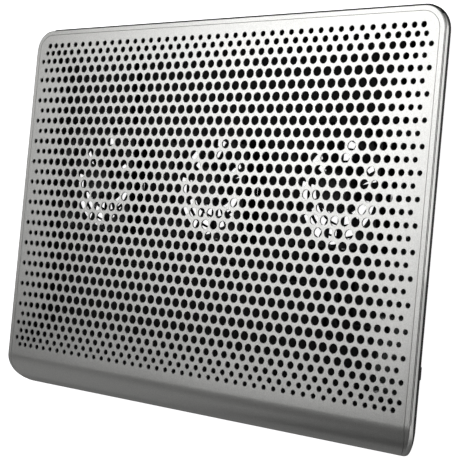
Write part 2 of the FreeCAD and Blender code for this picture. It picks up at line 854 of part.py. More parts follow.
def ring_part(name, x, outer, inner, height, base):
    """A plain ring about a fan's axis."""
    at = (x, "fan_shift", base)
    return sub_part(name, cut(
        name, cylinder(f"{name}_outer", outer, height, at), cylinder(f"{name}_inner", inner, height, at),
    ))


def make_fan_coil(side, x):
    """Four-pole core: a ring on the bearing tube with four wound arms and their pole shoes."""
    name = f"fan_coil_{side}"
    base = f"{FLOOR} + coil_lift"
    at = (x, "fan_shift", base)
    shoes = cut(
        f"{name}_shoes",
        cylinder(f"{name}_rim", "coil_radius", "coil_height", at),
        cylinder(f"{name}_rim_inside", "coil_radius - coil_shoe", "coil_height", at),
        box(f"{name}_gap_x", ("2 * coil_radius", "coil_shoe_gap", "coil_height"),
            (f"{x} - coil_radius", "fan_shift - coil_shoe_gap / 2", base)),
        box(f"{name}_gap_y", ("coil_shoe_gap", "2 * coil_radius", "coil_height"),
            (f"{x} - coil_shoe_gap / 2", "fan_shift - coil_radius", base)),
    )
    collar = cylinder(f"{name}_collar", "bearing_tube_radius + coil_collar", "coil_height", at)
    arm = ("coil_radius - coil_shoe / 2", "coil_arm_width", "coil_height")
    arms = [radial_bar(f"{name}_arm_{turn}", arm, x, base, turn) for turn in ARM_TURNS]
    core = fuse(f"{name}_core", shoes, collar, *arms)
    bore = cylinder(f"{name}_bore", "bearing_tube_radius + fit_gap", "coil_height", at)
    sub_part(name, cut(name, core, bore))


def make_fan_rotor(side, x):
    name = f"fan_rotor_{side}"
    bottom = "hub_lift"
    top = "(hub_lift + hub_height)"
    ceiling = f"({top} - hub_roof)"
    boss_end = f"({ceiling} - shaft_boss_height)"
    body = revolved_body(f"{name}_body", [
        ("0", f"{top} - shaft_sink"), ("shaft_radius", f"{top} - shaft_sink"), ("shaft_radius", boss_end),
        ("shaft_boss_radius", boss_end), ("shaft_boss_radius", ceiling),
        ("magnet_outer_radius + fit_gap", ceiling), ("magnet_outer_radius + fit_gap", bottom),
        ("hub_radius", bottom), ("hub_radius", f"{top} - hub_chamfer"),
        ("hub_radius - hub_chamfer", top), ("0", top),
    ])
    slope = math.tan(math.radians(value("blade_half_angle")))
    low, high = "blade_lift", "(blade_lift + blade_height)"
    sections = []
    for k, radius in enumerate(("(hub_radius - blade_overlap)", "(blade_radius + blade_overrun)")):
        half = f"{radius} * {slope}"
        sections.append(polygon(body_sketch(body, f"{name}_blade_{k}", "YZ_Plane", radius), [
            (f"-{half}", low), (half, f"{high} - blade_thickness"),
            (half, high), (f"-{half}", f"{low} + blade_thickness"),
        ]))
    blade = body.newObject("PartDesign::AdditiveLoft", f"{name}_blade")
    blade.Profile = sections[0]
    blade.Sections = [sections[1]]
    blade.Ruled = True
    body.Tip = blade
    doc.recompute()
    blades = body.newObject("PartDesign::PolarPattern", f"{name}_blades")
    blades.Originals = [blade]
    blades.Axis = (plane_of(body, "Z_Axis"), [""])
    blades.Angle = 360
    blades.Occurrences = int(value("blade_count"))
    body.Tip = blades
    place(body, x, "fan_shift", FLOOR)
    reach = cylinder(f"{name}_reach", "blade_radius", "fan_height + 2", (x, "fan_shift", FLOOR))
    sub_part(name, common(name, body, reach))


def make_fan(side, x):
    make_fan_frame(side, x)
    base_top = f"({FLOOR} + motor_base_height)"
    ring_part(f"fan_board_{side}", x, "motor_board_radius", "bearing_tube_radius + 2 * motor_board_lift",
              "motor_board_height", f"{base_top} + motor_board_lift")
    make_fan_coil(side, x)
    ring_part(f"fan_bearing_{side}", x, "bearing_tube_radius - bearing_tube_wall - fit_gap",
              "shaft_radius + running_gap", "bearing_tube_height - motor_base_height - 2 * bearing_inset",
              f"{base_top} + bearing_inset")
    make_fan_rotor(side, x)
    hub_top = f"({FLOOR} + hub_lift + hub_height)"
    magnet_top = f"({hub_top} - hub_roof - 2 * running_gap)"
    ring_part(f"fan_magnet_{side}", x, "magnet_outer_radius", "magnet_inner_radius",
              "magnet_height", f"{magnet_top} - magnet_height")
    shaft_low = f"({base_top} + shaft_foot)"
    sub_part(f"fan_shaft_{side}", cylinder(
        f"fan_shaft_{side}", "shaft_radius - fit_gap / 2", f"{hub_top} - shaft_sink - fit_gap - {shaft_low}",
        (x, "fan_shift", shaft_low),
    ))


# ---------------------------------------------------------------- legs and feet

def make_leg(side, sign):
    x = f"({sign} * leg_spacing)"
    start = f"{x} - leg_width / 2"
    tip_end = "(leg_hinge_back - leg_length)"
    low = "(leg_hinge_height - leg_thickness / 2)"
    plate = box(f"leg_{side}_plate", ("leg_width", "leg_length - tip_grip", "leg_thickness"),
                (start, f"{tip_end} + tip_grip", low))
    tenon = box(f"leg_{side}_tenon", ("leg_width - 2 * tip_grip", "tip_length", "leg_thickness / 3"),
                (f"{start} + tip_grip", f"{tip_end} + tip_grip", "leg_hinge_height - leg_thickness / 6"))
    barrel = cylinder(f"leg_{side}_barrel", "leg_barrel_radius", "leg_width",
                      (start, "leg_hinge_back", "leg_hinge_height"), ALONG_X)
    tip_room = box(f"leg_{side}_tip_room", ("leg_width", "tip_length", "leg_thickness"),
                   (start, tip_end, low))
    panel_width = "leg_width - 2 * leg_panel_side"
    panel_length = "leg_length - tip_length - leg_panel_front - leg_panel_back"
    panel_corner = (f"{start} + leg_panel_side", f"{tip_end} + tip_length + leg_panel_front")
    panel = box(f"leg_{side}_panel", (panel_width, panel_length, "leg_panel_depth"),
                (*panel_corner, f"{low} + leg_thickness - leg_panel_depth"))
    under_panel = box(f"leg_{side}_under_panel", (panel_width, panel_length, "leg_under_panel_depth"),
                      (*panel_corner, low))
    hole = cylinder(f"leg_{side}_hole", "leg_pin_radius + running_gap", "leg_width",
                    (start, "leg_hinge_back", "leg_hinge_height"), ALONG_X)
    blank = fuse(f"leg_{side}_blank", cut(f"leg_{side}_short", plate, tip_room), tenon, barrel)
    sub_part(f"leg_{side}", cut(f"leg_{side}", blank, panel, under_panel, hole))
    make_leg_tip(side, start, tip_end)
    reach = "(leg_pocket_gap + leg_pocket_wall - leg_pin_end_gap)"
    sub_part(f"leg_pin_{side}", cylinder(
        f"leg_pin_{side}", "leg_pin_radius", f"leg_width + 2 * {reach}",
        (f"{start} - {reach}", "leg_hinge_back", "leg_hinge_height"), ALONG_X,
    ))


def make_leg_tip(side, start, tip_end):
    """Rubber bar with a round front edge and a slot for the leg's tenon."""
    radius = "tip_thickness / 2"
    bar = box(f"leg_tip_{side}_bar", ("leg_width", f"tip_length - {radius} - tip_gap", "tip_thickness"),
              (start, f"{tip_end} + {radius}", f"leg_hinge_height - {radius}"))
    nose = cylinder(f"leg_tip_{side}_nose", radius, "leg_width",
                    (start, f"{tip_end} + {radius}", "leg_hinge_height"), ALONG_X)
    slot = box(f"leg_tip_{side}_slot",
               ("leg_width - 2 * (tip_grip - tip_gap)", "tip_length", "leg_thickness / 3 + 2 * tip_gap"),
               (f"{start} + tip_grip - tip_gap", f"{tip_end} + tip_grip - tip_gap",
                "leg_hinge_height - leg_thickness / 6 - tip_gap"))
    sub_part(f"leg_tip_{side}", cut(f"leg_tip_{side}", fuse(f"leg_tip_{side}_blank", bar, nose), slot))


def make_foot(name, x, y):
    height = "(underside + foot_seat)"
    body = revolved_body(f"foot_{name}", [
        ("0", "0"), ("foot_radius - foot_round", "0"), ("foot_radius", "foot_round"),
        ("foot_radius", height), ("0", height),
    ])
    place(body, x, y)
    sub_part(f"foot_{name}", body)


# ---------------------------------------------------------------- screws

def screw(name, head_radius, head_height, shank_radius, length, at):
    """A screw with its head down: low round edge, shank and a cross recess."""
    x, y, z = at
    head = cylinder(f"{name}_head", head_radius, head_height, at)
    shank = cylinder(f"{name}_shank", shank_radius, f"{length} + {head_height}", at)
    slot_depth = f"{head_height} / 2"
    reach, half = f"(screw_cross_reach * {head_radius})", "screw_cross_width / 2"
    cross = [
        box(f"{name}_cross_x", (f"2 * {reach}", "screw_cross_width", slot_depth),
            (f"{x} - {reach}", f"{y} - {half}", z)),
        box(f"{name}_cross_y", ("screw_cross_width", f"2 * {reach}", slot_depth),
            (f"{x} - {half}", f"{y} - {reach}", z)),
    ]
    return cut(name, fuse(f"{name}_blank", head, shank), *cross)


def make_screws():
    fan_screws = []
    for i, (x, y) in enumerate(fan_screw_spots()):
        fan_screws.append(screw(f"fan_screw_{i}", "fan_screw_head_radius", "fan_screw_head_height",
                                "fan_screw_shank_radius", "fan_screw_length",
                                (x, y, "(underside + fan_screw_gap)")))
    sub_part("fan_screws", group("fan_screws", *fan_screws))
    case_screws = []
    for i, (x, y) in enumerate(case_screw_spots()):
        head_base = f"(case_seat_{case_row(y)} - case_seat_thickness - screw_head_height - fit_gap)"
        case_screws.append(screw(f"case_screw_{i}", "screw_head_radius", "screw_head_height",
                                 "screw_shank_radius - fit_gap", "case_screw_length", (x, y, head_base)))
    sub_part("case_screws", group("case_screws", *case_screws))
    board_screws = []
    for i, (x, y) in enumerate(board_screw_spots()):
        top = f"({BOARD_TOP} + fit_gap)"
        head = cylinder(f"board_screw_head_{i}", "board_screw_head", "board_screw_head_height", (x, y, top))
        shank = cylinder(f"board_screw_shank_{i}", "board_screw_radius - fit_gap", "board_screw_length",
                         (x, y, f"{top} - board_screw_length"))
        slot = box(f"board_screw_slot_{i}", ("2 * board_screw_head", "board_screw_slot", "board_screw_slot"),
                   (f"{x} - board_screw_head", f"{y} - board_screw_slot / 2",
                    f"{top} + board_screw_head_height - board_screw_slot"))
        board_screws.append(cut(f"board_screw_{i}", fuse(f"board_screw_blank_{i}", head, shank), slot))
    sub_part("board_screws", group("board_screws", *board_screws))


# ---------------------------------------------------------------- control board

def make_board():
    blank = box("board_blank", ("board_right - board_left", "board_back - board_front", "board_thickness"),
                ("board_left", "board_front", "board_height"))
    holes = [
        cylinder(f"board_hole_{i}", "board_screw_radius + board_hole_gap", "board_thickness",
                 (x, y, "board_height"))
        for i, (x, y) in enumerate(board_screw_spots())
    ]
    sub_part("control_board", cut("control_board", blank, *holes))


def make_usb_socket():
    low = f"({BOARD_TOP} + fit_gap)"
    left = "(socket_along - socket_width / 2)"
    shell = box("socket_shell", ("socket_length", "socket_width", "socket_height"),
                ("socket_mouth - socket_length", left, low))
    mouth = box("socket_mouth_room",
                ("socket_length - socket_back_wall", "socket_width - 2 * socket_wall",
                 "socket_height - 2 * socket_wall"),
                ("socket_mouth - socket_length + socket_back_wall", f"{left} + socket_wall",
                 f"{low} + socket_wall"))
    tongue = box("socket_tongue",
                 ("socket_length - socket_back_wall - tongue_start", "socket_width - 2 * tongue_side",
                  "tongue_thickness"),
                 ("socket_mouth - socket_length + tongue_start", f"{left} + tongue_side",
                  f"{low} + socket_height / 2 - tongue_thickness / 2"))
    sub_part("usb_socket", fuse("usb_socket", cut("socket_can", shell, mouth), tongue))


def make_switch():
    low = f"({BOARD_TOP} + fit_gap)"
    back = "(knob_root + switch_overhang - switch_depth)"
    block = box("switch_block", ("switch_depth", "switch_length", "switch_height"),
                (back, "switch_along - switch_length / 2", low))
    track = knob_track("switch_track", "switch_track_depth + 1", "knob_root - 1")
    sub_part("slide_switch", cut("slide_switch", block, track))


def make_knob():
    """Slider that follows the leaning side wall, with finger ribs."""
    body = doc.addObject("PartDesign::Body", "switch_knob")
    lean = math.tan(math.radians(value("taper_angle")))
    face_low = f"(pad_width / 2 - {lean} * ({SHOULDER} - knob_bottom) + knob_proud)"
    face_high = f"(pad_width / 2 - {lean} * ({SHOULDER} - knob_top) + knob_proud)"
    profile = polygon(body_sketch(body, "knob_profile", "XZ_Plane"), [
        ("knob_root", "knob_bottom"), (face_low, "knob_bottom"),
        (face_high, "knob_top"), ("knob_root", "knob_top"),
    ])
    pad = body.newObject("PartDesign::Pad", "knob_pad")
    pad.Profile = profile
    pad.Midplane = True
    pad.setExpression("Length", ex("knob_length"))
    body.Tip = pad
    doc.recompute()
    deep = f"({face_low} - knob_rib_depth)"
    far = "(pad_width / 2 + knob_rib_depth)"
    for k in range(KNOB_GAPS):
        middle = f"({k - (KNOB_GAPS - 1) / 2}) * knob_rib_pitch"
        front = f"({middle} - knob_rib_gap / 2)"
        back = f"({middle} + knob_rib_gap / 2)"
        outline = polygon(body_sketch(body, f"knob_gap_outline_{k}", "XY_Plane", "(knob_bottom - 1)"),
                          [(deep, front), (far, front), (far, back), (deep, back)])
        gap = body.newObject("PartDesign::Pocket", f"knob_gap_{k}")
        gap.Profile = outline
        gap.Reversed = True
        gap.setExpression("Length", ex("knob_top - knob_bottom + 1 - knob_cap"))
        body.Tip = gap
    place(body, "0", "switch_along", "0")
    sub_part("switch_knob", body)


def header_spot(k):
    return f"(header_back - {k} * header_step)"


def make_headers():
    low = f"({BOARD_TOP} + fit_gap)"
    headers = []
    plugs = []
    for k in range(3):
        y = header_spot(k)
        block = box(f"header_block_{k}", ("header_length", "header_width", "header_height"),
                    ("board_left + header_inset", f"{y} - header_width / 2", low))
        room = box(f"header_room_{k}",
                   ("header_length - header_wall", "header_width - 2 * header_wall",
                    "header_height - 2 * header_wall"),
                   ("board_left", f"{y} - header_width / 2 + header_wall", f"{low} + header_wall"))
        headers.append(cut(f"header_{k}", block, room))
        inset = "(header_wall + plug_gap)"
        plug = box(f"plug_{k}",
                   ("plug_length", f"header_width - 2 * {inset}", f"header_height - 2 * {inset}"),
                   ("board_left - plug_proud", f"{y} - header_width / 2 + {inset}", f"{low} + {inset}"))
        plugs.append(plug)
    sub_part("board_headers", group("board_headers", *headers))
    sub_part("lead_plugs", group("lead_plugs", *plugs))


# ---------------------------------------------------------------- fan leads

def rounded_path(points, radius):
    """Straight runs joined by tangent arcs."""
    edges = []
    start = points[0]
    for before, corner, after in zip(points, points[1:], points[2:]):
        back = (before - corner).normalize()
        ahead = (after - corner).normalize()
        half = back.getAngle(ahead) / 2
        reach = radius / math.tan(half)
        first = corner + back * reach
        last = corner + ahead * reach
        inward = (back + ahead).normalize()
        middle = corner + inward * (radius / math.sin(half) - radius)
        edges.append(Part.LineSegment(start, first).toShape())
        edges.append(Part.Arc(first, middle, last).toShape())
        start = last
    edges.append(Part.LineSegment(start, points[-1]).toShape())
    return Part.Wire(edges)


def make_lead(side, x, k):
    """Two-core lead from a fan's front edge, along its lane on the floor, to its header."""
    lane = value(f"lane_front - (2 - {k}) * lane_step")
    low = value("lead_height")
    high = value(f"{BOARD_TOP} + fit_gap + header_height / 2")
    exit_x = value(f"{x} - lead_exit")
    turn_x = value(f"turn_first + {k} * turn_step")
    spot_y = value(header_spot(2 - k))
    vector = FreeCAD.Vector
    route = [
        vector(exit_x, value("fan_shift - fan_size / 2 - lead_end_gap"), low),
        vector(exit_x, lane, low),
        vector(turn_x, lane, low),
        vector(turn_x, spot_y, low),
        vector(value("lead_rise_end"), spot_y, high),
        vector(value("board_left - plug_proud - fit_gap"), spot_y, high),
    ]
    path = rounded_path(route, value("lead_bend"))
    radius = value("lead_radius")
    section = Part.Wire(Part.makeCircle(radius, route[0], route[1] - route[0]))
    tube = path.makePipeShell([section], True, False)
    ideal = math.pi * radius ** 2 * path.Length
    print(f"fan_lead_{side}: length {path.Length:.1f}, volume {tube.Volume:.1f} of {ideal:.1f}")
    lead = doc.addObject("Part::Feature", f"fan_lead_{side}")
    lead.Shape = tube
    sub_part(f"fan_lead_{side}", lead)


# ---------------------------------------------------------------- whole pad

def check_and_export():
    doc.recompute()
    failed = [o.Name for o in doc.Objects if "Invalid" in o.State or "Error" in o.State]
    for part in parts:
        if part.Shape.isNull() or not part.Shape.isValid():
            failed.append(f"{part.Label} has no valid shape")
    if failed:
        raise SystemExit("failed: " + ", ".join(failed))
    os.makedirs("parts", exist_ok=True)
    for part in parts:
        part.Shape.exportStep(f"parts/{part.Label}.step")
        size = part.Shape.BoundBox
        sides = f"{size.XLength:.1f} x {size.YLength:.1f} x {size.ZLength:.1f}"
        print(f"{part.Label}: {len(part.Shape.Solids)} solid(s), {sides}")


make_top_frame()
make_perforated_plate()
make_bottom_shell()
for fan_side, fan_x in FAN_CENTRES.items():
    make_fan(fan_side, fan_x)
for leg_side, leg_sign in SIDES.items():
    make_leg(leg_side, leg_sign)
for foot_name, (foot_x, foot_y) in foot_spots().items():
    make_foot(foot_name, foot_x, foot_y)
make_screws()
make_board()
make_usb_socket()
make_switch()
make_knob()
make_headers()
for lead_number, (lead_side, lead_x) in enumerate(FAN_CENTRES.items()):
    make_lead(lead_side, lead_x, lead_number)
check_and_export()
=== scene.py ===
import json
import math

import bmesh
import bpy
from mathutils import Matrix, Vector
from mathutils.geometry import delaunay_2d_cdt


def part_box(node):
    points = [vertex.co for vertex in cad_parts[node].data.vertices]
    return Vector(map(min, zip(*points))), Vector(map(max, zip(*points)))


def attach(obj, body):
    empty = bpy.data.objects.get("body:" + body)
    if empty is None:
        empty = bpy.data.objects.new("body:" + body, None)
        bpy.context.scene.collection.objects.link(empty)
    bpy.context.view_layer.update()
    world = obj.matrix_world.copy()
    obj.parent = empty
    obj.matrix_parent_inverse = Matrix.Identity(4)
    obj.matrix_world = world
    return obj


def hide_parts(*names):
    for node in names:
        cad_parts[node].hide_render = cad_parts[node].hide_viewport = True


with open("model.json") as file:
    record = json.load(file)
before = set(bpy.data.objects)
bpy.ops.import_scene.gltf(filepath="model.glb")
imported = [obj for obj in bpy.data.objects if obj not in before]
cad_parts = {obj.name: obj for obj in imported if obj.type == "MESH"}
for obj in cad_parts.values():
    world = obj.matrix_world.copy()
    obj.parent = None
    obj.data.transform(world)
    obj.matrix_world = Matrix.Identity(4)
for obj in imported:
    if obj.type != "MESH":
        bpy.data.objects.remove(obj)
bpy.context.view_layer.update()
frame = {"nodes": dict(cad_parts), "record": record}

MM = 0.001

# ---------------------------------------------------------------- sizes, metres

PITCH = 8.2 * MM
HOLE_RADIUS = 3.25 * MM
HOLE_GRADE = 0.885
PATTERN_SHIFT = 6.72 * MM
HOLE_ROWS = 32
EVEN_HOLES = 46
GRADED_COLUMNS = 5
GRADED_BACK_ROWS = 4
GRADED_FRONT_ROWS = 5
END_GAPS = (0.97, 0.045)
BACK_GAPS = (0.961, 0.083)
FRONT_GAPS = (0.945, 0.079)
FULL_SIZE_ROWS = (3, 27)
FULL_SIZE_COLUMNS = (6, 17)
HOLE_SIDES = 16
HOLE_BEVEL = 0.12 * MM

SHEET = 1.0 * MM
SEAM_CORNER = 12.6 * MM
CORNER_STEPS = 12
NOSE_RADIUS = 22.0 * MM
NOSE_STEPS = 28
LIP_CORNER = 18.0 * MM
LIP_FRONT = -142.7 * MM
SMOOTH_ANGLE = math.radians(32)
QUARTER = math.radians(90)

# the paint, where it stops on the frame, and painted shade along the groove in the frame's side
PAINT_METALLIC = 0.7
PAINT_TINT = (1.0, 1.0, 0.975)
PAINT_HALF_WIDTH = 184.6 * MM
PAINT_FRONT = -119.0 * MM
PAINT_BACK = 137.2 * MM
PAINT_DEPTH = 24.0 * MM
BARE_SHADE = 0.006
GROOVE_HALF_WIDTH = 188.5 * MM
GROOVE_BOTTOM = 23.55 * MM
GROOVE_TOP = 24.42 * MM
# painted shade: the dark colour put on the paint inside the side groove, deepening the groove's own shadow
PAINTED_GROOVE_SHADE = 0.03


# ---------------------------------------------------------------- material helpers

class Shader:
    """Builds one node material: a Principled surface with what is plugged into it."""

    def __init__(self, name):
        self.material = bpy.data.materials.new(name)
        self.material.use_nodes = True
        self.tree = self.material.node_tree
        self.surface = self.tree.nodes["Principled BSDF"]
        self.place = self.node("ShaderNodeTexCoord").outputs["Object"]

    def node(self, kind, **settings):
        made = self.tree.nodes.new(kind)
        for key, value in settings.items():
            setattr(made, key, value)
        return made

    def link(self, source, target):
        self.tree.links.new(source, target)

    def set(self, **values):
        for key, value in values.items():
            self.surface.inputs[key.replace("_", " ")].default_value = value

    def noise(self, size, detail=2.0, roughness=0.5, stretch=None):
        """Noise whose features are about this size in metres."""
        where = self.place
        if stretch:
            mapping = self.node("ShaderNodeMapping")
            mapping.inputs["Scale"].default_value = stretch
            self.link(where, mapping.inputs["Vector"])
            where = mapping.outputs["Vector"]
        made = self.node("ShaderNodeTexNoise")
        made.inputs["Scale"].default_value = 1 / size
        made.inputs["Detail"].default_value = detail
        made.inputs["Roughness"].default_value = roughness
        self.link(where, made.inputs["Vector"])
        return made.outputs["Fac"]

    def math(self, operation, *values):
        made = self.node("ShaderNodeMath", operation=operation)
        for socket, given in zip(made.inputs, values):
            if isinstance(given, bpy.types.NodeSocket):
                self.link(given, socket)
            else:
                socket.default_value = given
        return made.outputs["Value"]

    def span(self, source, low, high, start=0.0, end=1.0):
        """Source mapped from start..end to low..high."""
        made = self.node("ShaderNodeMapRange")
        self.link(source, made.inputs["Value"])
        for key, value in (("From Min", start), ("From Max", end), ("To Min", low), ("To Max", high)):
            made.inputs[key].default_value = value
        return made.outputs["Result"]

    def blend(self, factor, first, second):
        made = self.node("ShaderNodeMix", data_type="RGBA")
        self.link(factor, made.inputs["Factor"])
        for key, colour in (("A", first), ("B", second)):
            socket = next(s for s in made.inputs if s.name == key and s.type == "RGBA")
            if isinstance(colour, bpy.types.NodeSocket):
                self.link(colour, socket)
            else:
                socket.default_value = (*colour, 1)
        return next(s for s in made.outputs if s.type == "RGBA")

    def bump(self, height, strength, distance):
        made = self.node("ShaderNodeBump")
        made.inputs["Strength"].default_value = strength
        made.inputs["Distance"].default_value = distance
        self.link(height, made.inputs["Height"])
        self.link(made.outputs["Normal"], self.surface.inputs["Normal"])


def grey(level, tint=(1, 1, 1)):
    return tuple(level * part for part in tint)


# ---------------------------------------------------------------- materials

def metallic_paint(name):
    """Satin silver paint: fine flakes, a faint orange peel and slow changes of sheen."""
    m = Shader(name)
    m.set(Metallic=PAINT_METALLIC)
    flakes = m.noise(0.55 * MM, detail=3, roughness=0.7)
    light, dark = (grey(level, PAINT_TINT) for level in (0.64, 0.47))
    m.link(m.blend(m.span(flakes, 0, 1, 0.32, 0.68), dark, light), m.surface.inputs["Base Color"])
    slow = m.noise(60 * MM, detail=2)
    m.link(m.span(slow, 0.30, 0.36), m.surface.inputs["Roughness"])
    m.bump(m.noise(0.4 * MM, detail=2, roughness=0.6), 0.25, 0.03 * MM)
    return m


def painted_frame(name):
    """The frame's paint ends at the seam: what lies below the sheet is bare dark moulding. Inside the side
    groove a position mask darkens the paint, so the groove's dark line is partly its own shadow and partly
    painted shade.
    """
    m = metallic_paint(name)
    parts = m.node("ShaderNodeSeparateXYZ")
    m.link(m.place, parts.inputs["Vector"])
    beside = m.math("LESS_THAN", m.math("ABSOLUTE", parts.outputs["X"]), PAINT_HALF_WIDTH)
    ahead = m.math("LESS_THAN", parts.outputs["Y"], PAINT_BACK)
    behind = m.math("GREATER_THAN", parts.outputs["Y"], PAINT_FRONT)
    under = m.math("LESS_THAN", parts.outputs["Z"], PAINT_DEPTH)
    hidden = m.math("MULTIPLY", m.math("MULTIPLY", beside, ahead), m.math("MULTIPLY", behind, under))
    # painted shade: a box on position (side, height, behind the nose) that darkens the paint inside the
    # side groove
    within = m.math("LESS_THAN", m.math("ABSOLUTE", parts.outputs["X"]), GROOVE_HALF_WIDTH)
    over = m.math("GREATER_THAN", parts.outputs["Z"], GROOVE_BOTTOM)
    below = m.math("LESS_THAN", parts.outputs["Z"], GROOVE_TOP)
    painted_groove_shade_mask = m.math("MULTIPLY", m.math("MULTIPLY", within, behind), m.math("MULTIPLY", over, below))
    painted = m.surface.inputs["Base Color"].links[0].from_socket
    paint_with_painted_groove_shade = m.blend(painted_groove_shade_mask, painted, grey(PAINTED_GROOVE_SHADE))
    m.link(m.blend(hidden, paint_with_painted_groove_shade, grey(BARE_SHADE)), m.surface.inputs["Base Color"])
    m.link(m.span(hidden, PAINT_METALLIC, 0), m.surface.inputs["Metallic"])
    return m.material


def moulded_plastic(name, level, roughness, grain=0.35, tint=(1, 1, 1), strength=0.3, gloss=0.5):
    """Moulded plastic with a fine spark-eroded grain."""
    m = Shader(name)
    m.set(Specular_IOR_Level=gloss)
    cloud = m.noise(8 * MM, detail=4)
    m.link(m.blend(m.span(cloud, 0, 1, 0.3, 0.7), grey(level * 0.85, tint), grey(level * 1.15, tint)),
           m.surface.inputs["Base Color"])
    m.link(m.span(m.noise(1.5 * MM), roughness - 0.05, roughness + 0.05), m.surface.inputs["Roughness"])
    m.bump(m.noise(grain * MM, detail=3), strength, 0.05 * MM)
    return m.material


def worked_metal(name, colour, roughness, stretch):
    """Bare metal with fine tool marks."""
    m = Shader(name)
    m.set(Metallic=1.0)
    marks = m.noise(0.3 * MM, detail=3, stretch=stretch)
    m.link(m.blend(marks, tuple(0.8 * c for c in colour), colour), m.surface.inputs["Base Color"])
    m.link(m.span(marks, roughness - 0.06, roughness + 0.08), m.surface.inputs["Roughness"])
    m.bump(marks, 0.2, 0.02 * MM)
    return m.material


def rubber(name, level):
    m = Shader(name)
    dust = m.noise(2.5 * MM, detail=5)
    dusted = m.blend(m.span(dust, 0, 1, 0.45, 0.75), grey(level), grey(level * 2.2))
    m.link(dusted, m.surface.inputs["Base Color"])
    m.set(Roughness=0.75)
    m.bump(m.noise(0.25 * MM, detail=4), 0.5, 0.06 * MM)
    return m.material


def wound_copper(name):
    m = Shader(name)
    m.set(Metallic=0.9)
    wave = m.node("ShaderNodeTexWave", bands_direction="Z")
    wave.inputs["Scale"].default_value = 1 / (2.4 * MM)
    wave.inputs["Distortion"].default_value = 0.6
    m.link(m.place, wave.inputs["Vector"])
    wire = m.blend(wave.outputs["Fac"], (0.30, 0.11, 0.04), (0.72, 0.33, 0.14))
    m.link(wire, m.surface.inputs["Base Color"])
    m.set(Roughness=0.32)
    m.bump(wave.outputs["Fac"], 0.6, 0.12 * MM)
    return m.material


def solder_mask(name):
    """Green board: lacquer over a faint net of copper tracks."""
    m = Shader(name)
    tracks = m.node("ShaderNodeTexBrick")
    tracks.inputs["Scale"].default_value = 1 / (6 * MM)
    tracks.inputs["Mortar Size"].default_value = 0.05
    m.link(m.place, tracks.inputs["Vector"])
    lacquer = m.blend(tracks.outputs["Fac"], (0.0015, 0.007, 0.003), (0.003, 0.014, 0.006))
    m.link(lacquer, m.surface.inputs["Base Color"])
    m.link(m.span(m.noise(3 * MM), 0.2, 0.4), m.surface.inputs["Roughness"])
    m.bump(tracks.outputs["Fac"], 0.3, 0.03 * MM)
    return m.material


def make_materials():
    return {
        "satin_silver": metallic_paint("satin_silver_paint").material,
        "silver_plastic": painted_frame("silver_frame_paint_with_painted_groove_shade"),
        "black_shell": moulded_plastic("black_shell_grain", 0.004, 0.7, gloss=0.3),
        "fan_black": moulded_plastic("fan_frame_plastic", 0.004, 0.75, strength=0.15),
        "fan_blade": moulded_plastic("fan_blade_plastic", 0.004, 0.7, strength=0.1),
        "magnet_grey": worked_metal("ferrite_magnet", (0.16, 0.16, 0.17), 0.5, (1, 1, 1)),
        "steel": worked_metal("ground_steel", (0.62, 0.62, 0.63), 0.28, (1, 1, 12)),
        "bronze": worked_metal("sintered_bronze", (0.55, 0.36, 0.16), 0.45, (1, 1, 1)),
        "copper_coil": wound_copper("copper_winding"),
        "board_green": solder_mask("solder_mask"),
        "black_rubber": rubber("foot_rubber", 0.012),
        "screw_steel": worked_metal("black_zinc_screw", (0.10, 0.10, 0.11), 0.38, (1, 1, 6)),
        "socket_metal": worked_metal("blackened_plate", (0.045, 0.045, 0.045), 0.5, (8, 1, 1)),
        "connector_black": moulded_plastic("nylon_connector", 0.012, 0.6, strength=0.1),
        "lead_black": rubber("lead_sleeve", 0.010),
        "knob_black": moulded_plastic("knob_plastic", 0.012, 0.35, strength=0.1),
    }


def dress_cad_nodes(materials):
    """Gives each carried-over CAD node its slot's material."""
    for part in frame["record"]["subparts"]:
        mesh = frame["nodes"][part["node"]].data
        mesh.materials.clear()
        mesh.materials.append(materials[part["material_slot"]])


# ---------------------------------------------------------------- perforated plate

def graded_run(gaps, first, step):
    """Distances covered by a run of gaps that shrink by an even step."""
    reached = 0.0
    run = []
    for k in range(gaps):
        reached += first - step * k
        run.append(reached)
    return run


def row_places():
    """Each row's distance behind the pattern's middle, in pitches, and how far it is graded."""
    middle = (HOLE_ROWS - 1) / 2
    places = {row: (middle - row, 0) for row in range(GRADED_BACK_ROWS, HOLE_ROWS - GRADED_FRONT_ROWS)}
    for level, run in enumerate(graded_run(GRADED_BACK_ROWS, *BACK_GAPS), start=1):
        places[GRADED_BACK_ROWS - level] = (middle - GRADED_BACK_ROWS + run, level)
    last = HOLE_ROWS - GRADED_FRONT_ROWS - 1
    for level, run in enumerate(graded_run(GRADED_FRONT_ROWS, *FRONT_GAPS), start=1):
        places[last + level] = (middle - last - run, level)
    return places


def column_places(row):
    """The right half of a row: distance from the middle, in pitches, and how far it is graded."""
    start = 0.5 if row % 2 == 0 else 0.0
    plain = EVEN_HOLES // 2 - GRADED_COLUMNS
    places = [(start + k, 0) for k in range(plain)]
    for level, run in enumerate(graded_run(GRADED_COLUMNS, *END_GAPS), start=1):
        places.append((start + plain - 1 + run, level))
    if row == 0:
        places.pop()
    return places


def plate_holes():
    """Centre and radius of every hole in the plate."""
    for row, (behind, row_level) in row_places().items():
        y = PATTERN_SHIFT + behind * PITCH
        for column, (aside, column_level) in enumerate(column_places(row)):
            level = max(row_level, column_level)
            if row in FULL_SIZE_ROWS and column in FULL_SIZE_COLUMNS:
                level = 0
            for side in ((1,) if aside == 0 else (-1, 1)):
                yield Vector((side * aside * PITCH, y)), HOLE_RADIUS * HOLE_GRADE ** level


def deck_outline(half, front, back):
    """Corner points of the flat deck, anticlockwise from the front left, with round back corners."""
    points = [Vector((-half, front)), Vector((half, front))]
    for side in (1, -1):
        centre = Vector((side * (half - SEAM_CORNER), back - SEAM_CORNER))
        for k in range(CORNER_STEPS + 1):
            turn = QUARTER * k / CORNER_STEPS
            if side < 0:
                turn += QUARTER
            points.append(centre + SEAM_CORNER * Vector((math.cos(turn), math.sin(turn))))
    return points


